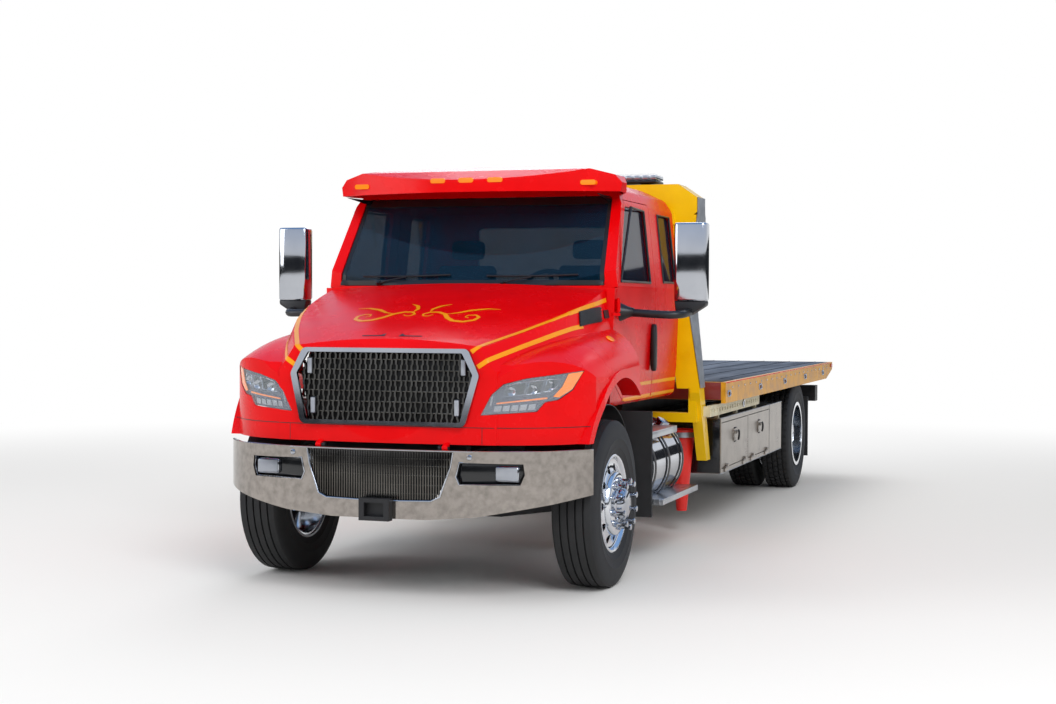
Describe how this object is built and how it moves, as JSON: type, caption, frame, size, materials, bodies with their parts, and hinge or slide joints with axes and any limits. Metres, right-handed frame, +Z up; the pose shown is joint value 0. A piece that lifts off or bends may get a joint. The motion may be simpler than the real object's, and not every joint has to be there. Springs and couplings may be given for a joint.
{
  "type": "rollback tow truck",
  "caption": "Conventional-cab rollback tow truck with tilting, sliding flatbed, tilting hood, opening doors, side toolboxes, pylon and wheel lift.",
  "frame": {"origin": "ground point under the middle of the truck's overall box", "axes": "+X towards the driver's side (left of the truck), the nose points to -Y, +Z up"},
  "size_m": [3.094, 9.225, 2.7349],
  "materials": {
    "red_paint": "gloss",
    "yellow_paint": "gloss",
    "rail_yellow": "satin",
    "black_paint": "satin",
    "cream_paint": "satin",
    "chrome": "polished",
    "tread_aluminium": "textured",
    "wheel_aluminium": "polished",
    "deck_steel": "worn",
    "cast": "rough",
    "tyre": "matte",
    "flap_rubber": "matte",
    "window_glass": "tinted",
    "lamp_lens": "clear",
    "amber_lens": "gloss",
    "red_lens": "gloss",
    "dash_plastic": "grained",
    "seat_fabric": "woven",
    "cone_plastic": "satin",
    "rod_steel": "ground"
  },
  "bodies": {
    "root": {"axles": "cast", "bumper_grille": "black_paint", "cab_glass": "window_glass", "cab_shell": "red_paint", "cone_holder": "black_paint", "dashboard": "dash_plastic", "engine_block": "cast", "exhaust": "wheel_aluminium", "fog_lamps": "black_paint", "frame_rails": "black_paint", "front_bumper": "chrome", "fuel_tanks": "wheel_aluminium", "leaf_springs": "black_paint", "light_bar": "lamp_lens", "marker_lamps": "amber_lens", "mud_flaps": "flap_rubber", "pylon": "yellow_paint", "rear_light_bar": "black_paint", "seats": "seat_fabric", "sun_visor": "red_paint", "tank_steps": "tread_aluminium", "tie_rails": "cream_paint", "toolboxes": "tread_aluminium", "tow_bracket": "black_paint", "traffic_cone": "cone_plastic"},
    "door_left": {"door_left": "red_paint", "door_glass_left": "window_glass", "door_mirror_left": "chrome"},
    "knuckle_left": {"knuckle_left": "cast"},
    "front_wheel_left": {"front_tyre_left": "tyre", "front_wheel_left": "wheel_aluminium"},
    "rear_wheel_left": {"rear_tyres_left": "tyre", "rear_wheels_left": "wheel_aluminium"},
    "toolbox_door_1_left": {"toolbox_door_1_left": "tread_aluminium"},
    "toolbox_door_2_left": {"toolbox_door_2_left": "tread_aluminium"},
    "door_right": {"door_right": "red_paint", "door_glass_right": "window_glass", "door_mirror_right": "chrome"},
    "knuckle_right": {"knuckle_right": "cast"},
    "front_wheel_right": {"front_tyre_right": "tyre", "front_wheel_right": "wheel_aluminium"},
    "rear_wheel_right": {"rear_tyres_right": "tyre", "rear_wheels_right": "wheel_aluminium"},
    "toolbox_door_1_right": {"toolbox_door_1_right": "tread_aluminium"},
    "toolbox_door_2_right": {"toolbox_door_2_right": "tread_aluminium"},
    "hood": {"hood": "red_paint", "grille": "black_paint", "grille_surround": "chrome", "headlamps": "lamp_lens"},
    "tilt_frame": {"tilt_frame": "black_paint"},
    "load_bed": {"deck": "deck_steel", "deck_sills": "black_paint", "deck_rails": "rail_yellow", "tail_lamps": "red_lens", "winch": "black_paint"},
    "lift_barrels": {"lift_barrels": "black_paint"},
    "lift_rods": {"lift_rods": "rod_steel"},
    "wheel_lift_boom": {"wheel_lift_boom": "black_paint"},
    "wheel_lift_crossbar": {"wheel_lift_crossbar": "black_paint"}
  },
  "joints": [
    {"name": "steer_left", "type": "hinge", "parent": "root", "child": "knuckle_left", "pos_m": [0.9, -3.5675, 0.516], "axis": [0, 0, 1], "range_deg": [-36, 36]},
    {"name": "steer_right", "type": "hinge", "parent": "root", "child": "knuckle_right", "pos_m": [-0.9, -3.5675, 0.516], "axis": [0, 0, 1], "range_deg": [-36, 36]},
    {"name": "front_spin_left", "type": "hinge", "parent": "knuckle_left", "child": "front_wheel_left", "pos_m": [1.035, -3.5675, 0.516], "axis": [1, 0, 0], "continuous": true},
    {"name": "rear_spin_left", "type": "hinge", "parent": "root", "child": "rear_wheel_left", "pos_m": [0.9125, 2.7525, 0.516], "axis": [1, 0, 0], "continuous": true},
    {"name": "door_swing_left", "type": "hinge", "parent": "root", "child": "door_left", "pos_m": [1.036, -3.0705, 1.5], "axis": [0, 0, -1], "range_deg": [0, 65]},
    {"name": "toolbox_drop_1_left", "type": "hinge", "parent": "root", "child": "toolbox_door_1_left", "pos_m": [1.221, -0.1925, 0.478], "axis": [0, 1, 0], "range_deg": [0, 90]},
    {"name": "toolbox_drop_2_left", "type": "hinge", "parent": "root", "child": "toolbox_door_2_left", "pos_m": [1.221, 0.8175, 0.478], "axis": [0, 1, 0], "range_deg": [0, 90]},
    {"name": "front_spin_right", "type": "hinge", "parent": "knuckle_right", "child": "front_wheel_right", "pos_m": [-1.035, -3.5675, 0.516], "axis": [1, 0, 0], "continuous": true},
    {"name": "rear_spin_right", "type": "hinge", "parent": "root", "child": "rear_wheel_right", "pos_m": [-0.9125, 2.7525, 0.516], "axis": [1, 0, 0], "continuous": true},
    {"name": "door_swing_right", "type": "hinge", "parent": "root", "child": "door_right", "pos_m": [-1.036, -3.0705, 1.5], "axis": [0, 0, 1], "range_deg": [0, 65]},
    {"name": "toolbox_drop_1_right", "type": "hinge", "parent": "root", "child": "toolbox_door_1_right", "pos_m": [-1.221, -0.1925, 0.478], "axis": [0, -1, 0], "range_deg": [0, 90]},
    {"name": "toolbox_drop_2_right", "type": "hinge", "parent": "root", "child": "toolbox_door_2_right", "pos_m": [-1.221, 0.8175, 0.478], "axis": [0, -1, 0], "range_deg": [0, 90]},
    {"name": "hood_tilt", "type": "hinge", "parent": "root", "child": "hood", "pos_m": [0, -4.4975, 0.905], "axis": [1, 0, 0], "range_deg": [0, 60]},
    {"name": "bed_tilt", "type": "hinge", "parent": "root", "child": "tilt_frame", "pos_m": [0, 4.1325, 0.9], "axis": [-1, 0, 0], "range_deg": [0, 14]},
    {"name": "bed_slide", "type": "slide", "parent": "tilt_frame", "child": "load_bed", "axis": [0, 1, 0], "range_m": [0, 3]},
    {"name": "lift_barrel_swing", "type": "hinge", "parent": "root", "child": "lift_barrels", "pos_m": [0, 3.2325, 0.64], "axis": [-1, 0, 0], "range_deg": [0, 20.49]},
    {"name": "lift_rod_slide", "type": "slide", "parent": "lift_barrels", "child": "lift_rods", "axis": [0, -0.9915, 0.1301], "range_m": [0, 0.12743]},
    {"name": "wheel_lift_fold", "type": "hinge", "parent": "root", "child": "wheel_lift_boom", "pos_m": [0, 3.6825, 0.5], "axis": [-1, 0, 0], "range_deg": [0, 12]},
    {"name": "wheel_lift_extend", "type": "slide", "parent": "wheel_lift_boom", "child": "wheel_lift_crossbar", "axis": [0, 1, 0], "range_m": [0, 0.6]}
  ],
  "couplings": [
    {"joint": "steer_right", "follows": "steer_left", "ratio": 1},
    {"joint": "lift_barrel_swing", "follows": "bed_tilt", "ratio": 1.463},
    {"joint": "lift_rod_slide", "follows": "bed_tilt", "m_per_rad": 0.52111}
  ]
}
